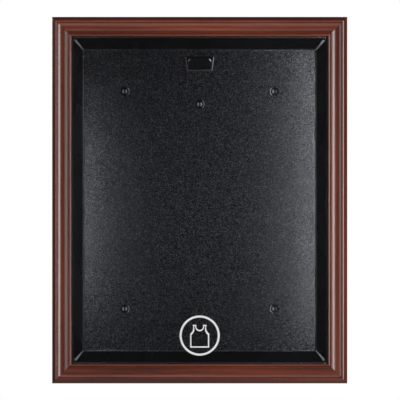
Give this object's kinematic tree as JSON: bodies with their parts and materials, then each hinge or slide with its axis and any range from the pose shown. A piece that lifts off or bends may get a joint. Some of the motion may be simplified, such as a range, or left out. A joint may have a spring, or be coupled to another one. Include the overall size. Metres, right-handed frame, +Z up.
{
  "type": "jersey display frame",
  "caption": "Wall-mounted display frame for a sports shirt: hinged hardwood door with a clear acrylic sheet over a shallow moulded black tray with a rod cradle.",
  "frame": {"origin": "centre of the four-screw wall pattern, on the wall plane behind the tray", "axes": "+Z up, +X to the right as seen by a person facing the frame, +Y into the wall, so the door's front faces -Y"},
  "size_m": [0.868, 0.089, 1.078],
  "materials": {
    "frame_wood": "satin",
    "stop_wood": "satin",
    "clear_acrylic": "gloss",
    "white_vinyl": "satin",
    "black_vinyl": "satin",
    "tray_plastic": "satin",
    "cradle_plastic": "satin",
    "hinge_brass": "satin",
    "bright_steel": "satin",
    "black_steel": "satin",
    "magnet": "gloss",
    "bumper_rubber": "matte"
  },
  "bodies": {
    "case": {"backing_tray": "tray_plastic", "rod_cradle": "cradle_plastic", "rod_cradle_screws": "black_steel", "hinge_case_leaf_upper": "hinge_brass", "hinge_case_leaf_middle": "hinge_brass", "hinge_case_leaf_lower": "hinge_brass", "hinge_pin_upper": "bright_steel", "hinge_pin_middle": "bright_steel", "hinge_pin_lower": "bright_steel", "hinge_case_screws": "hinge_brass", "catch_magnet_upper": "magnet", "catch_magnet_lower": "magnet", "door_bumpers": "bumper_rubber"},
    "door": {"door_rail_top": "frame_wood", "door_rail_bottom": "frame_wood", "door_stile_left": "frame_wood", "door_stile_right": "frame_wood", "corner_v_nails": "bright_steel", "acrylic_panel": "clear_acrylic", "emblem_vinyl_black": "black_vinyl", "emblem_vinyl_white": "white_vinyl", "glazing_stop_top": "stop_wood", "glazing_stop_bottom": "stop_wood", "glazing_stop_left": "stop_wood", "glazing_stop_right": "stop_wood", "glazing_stop_brads": "bright_steel", "hinge_door_leaf_upper": "hinge_brass", "hinge_door_leaf_middle": "hinge_brass", "hinge_door_leaf_lower": "hinge_brass", "hinge_door_screws": "hinge_brass", "strike_plate_upper": "bright_steel", "strike_plate_lower": "bright_steel", "strike_plate_screws": "bright_steel"}
  },
  "joints": [
    {"name": "door_swing", "type": "hinge", "parent": "case", "child": "door", "pos_m": [-0.4208, -0.0592, 0], "axis": [0, 0, -1], "range_deg": [0, 110]}
  ]
}
